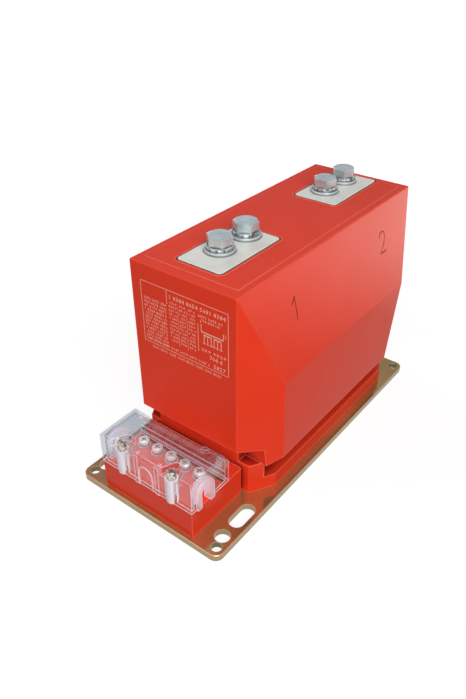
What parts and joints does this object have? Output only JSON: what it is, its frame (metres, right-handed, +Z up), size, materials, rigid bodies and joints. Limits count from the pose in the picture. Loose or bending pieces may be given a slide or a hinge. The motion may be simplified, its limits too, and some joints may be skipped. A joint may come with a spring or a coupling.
{
  "type": "current transformer",
  "caption": "Medium voltage current transformer: faceted red resin casting on a slotted steel base plate, bolted copper terminals on top, clear cover over the secondary screws.",
  "frame": {"origin": "centre of the underside of the base plate", "axes": "+Z up; -Y towards the secondary terminal box; the primary terminals lie one behind the other along Y; +X is the right-hand side seen from the terminal box"},
  "size_m": [0.148, 0.3127, 0.2075],
  "materials": {
    "zinc_plate": "yellow zinc plated steel",
    "red_resin": "cast epoxy resin, satin gloss",
    "tinned_copper": "tinned copper",
    "zinc_steel": "bright zinc plated steel",
    "copper": "bare copper bar",
    "insulating_tube": "paper laminate tube",
    "core_steel": "wound silicon steel strip",
    "enamelled_wire": "enamelled copper wire, taped",
    "brass": "turned brass",
    "nickel_steel": "nickel plated steel",
    "clear_polycarbonate": "clear moulded plastic"
  },
  "bodies": {
    "root": {"base_plate": "zinc_plate", "resin_body": "red_resin", "terminal_plate_p1": "tinned_copper", "terminal_plate_p2": "tinned_copper", "primary_bolts": "zinc_steel", "primary_spring_washers": "zinc_steel", "primary_flat_washers": "zinc_steel", "primary_conductor": "copper", "primary_insulation": "insulating_tube", "measuring_core": "core_steel", "measuring_winding": "enamelled_wire", "protection_core": "core_steel", "protection_winding": "enamelled_wire", "secondary_leads": "enamelled_wire", "secondary_inserts": "brass", "secondary_washers": "nickel_steel", "secondary_spring_washers": "nickel_steel", "secondary_screws": "nickel_steel", "terminal_cover": "clear_polycarbonate", "sealing_screws": "nickel_steel", "cover_inserts": "brass", "base_screws": "zinc_steel", "base_inserts": "brass"}
  },
  "joints": []
}
